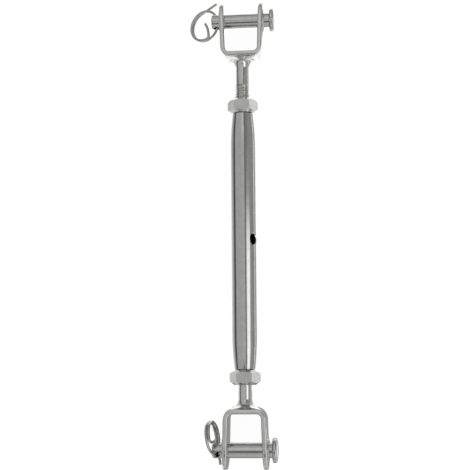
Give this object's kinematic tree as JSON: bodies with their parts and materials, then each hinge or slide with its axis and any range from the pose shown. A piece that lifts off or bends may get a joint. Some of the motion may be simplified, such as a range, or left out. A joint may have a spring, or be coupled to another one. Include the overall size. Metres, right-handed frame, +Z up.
{
  "type": "rigging screw",
  "caption": "Closed-body rigging screw with a fork, clevis pin and split ring at each end, turned to take up the slack of a wire or rod.",
  "frame": {"origin": "middle of the barrel, on its axis, where the tommy bar hole crosses it", "axes": "+Y along the long axis towards the fork that shows thread, +X along the clevis pins towards their heads, +Z up from the surface that the part lies on"},
  "size_m": [0.0336, 0.1785, 0.0156],
  "materials": {
    "barrel": "polished",
    "locknut": "polished",
    "fork": "polished",
    "clevis_pin": "polished",
    "split_ring": "polished"
  },
  "bodies": {
    "lower_fork": {"lower_fork": "fork"},
    "lower_locknut": {"lower_locknut": "locknut"},
    "barrel": {"barrel": "barrel"},
    "upper_locknut": {"upper_locknut": "locknut"},
    "upper_fork": {"upper_fork": "fork"},
    "upper_clevis_pin": {"upper_clevis_pin": "clevis_pin"},
    "lower_clevis_pin": {"lower_clevis_pin": "clevis_pin"},
    "upper_split_ring": {"upper_split_ring": "split_ring"},
    "lower_split_ring": {"lower_split_ring": "split_ring"}
  },
  "joints": [
    {"name": "lower_nut_travel", "type": "slide", "parent": "lower_fork", "child": "lower_locknut", "axis": [0, 1, 0], "range_m": [0, 0.0265]},
    {"name": "barrel_turn", "type": "hinge", "parent": "lower_locknut", "child": "barrel", "pos_m": [0, -0.0486, 0], "axis": [0, -1, 0], "range_deg": [0, 9360]},
    {"name": "upper_nut_hold", "type": "hinge", "parent": "barrel", "child": "upper_locknut", "pos_m": [0, 0.0486, 0], "axis": [0, -1, 0], "range_deg": [-9360, 0]},
    {"name": "upper_fork_travel", "type": "slide", "parent": "upper_locknut", "child": "upper_fork", "axis": [0, 1, 0], "range_m": [0, 0.0265]},
    {"name": "upper_pin_turn", "type": "hinge", "parent": "upper_fork", "child": "upper_clevis_pin", "pos_m": [0, 0.0851, 0], "axis": [1, 0, 0], "continuous": true},
    {"name": "lower_pin_turn", "type": "hinge", "parent": "lower_fork", "child": "lower_clevis_pin", "pos_m": [0, -0.078, 0], "axis": [1, 0, 0], "continuous": true},
    {"name": "upper_ring_swing", "type": "hinge", "parent": "upper_clevis_pin", "child": "upper_split_ring", "pos_m": [-0.00975, 0.0851, 0], "axis": [0, 0.9781, -0.2079], "range_deg": [-50, 110]},
    {"name": "lower_ring_swing", "type": "hinge", "parent": "lower_clevis_pin", "child": "lower_split_ring", "pos_m": [-0.0105, -0.078, 0], "axis": [0, -0.515, 0.8572], "range_deg": [-18, 5]}
  ],
  "couplings": [
    {"joint": "lower_nut_travel", "follows": "barrel_turn", "m_per_rad": 0.00015915},
    {"joint": "upper_fork_travel", "follows": "barrel_turn", "m_per_rad": 0.00015915},
    {"joint": "upper_nut_hold", "follows": "barrel_turn", "ratio": -1}
  ]
}
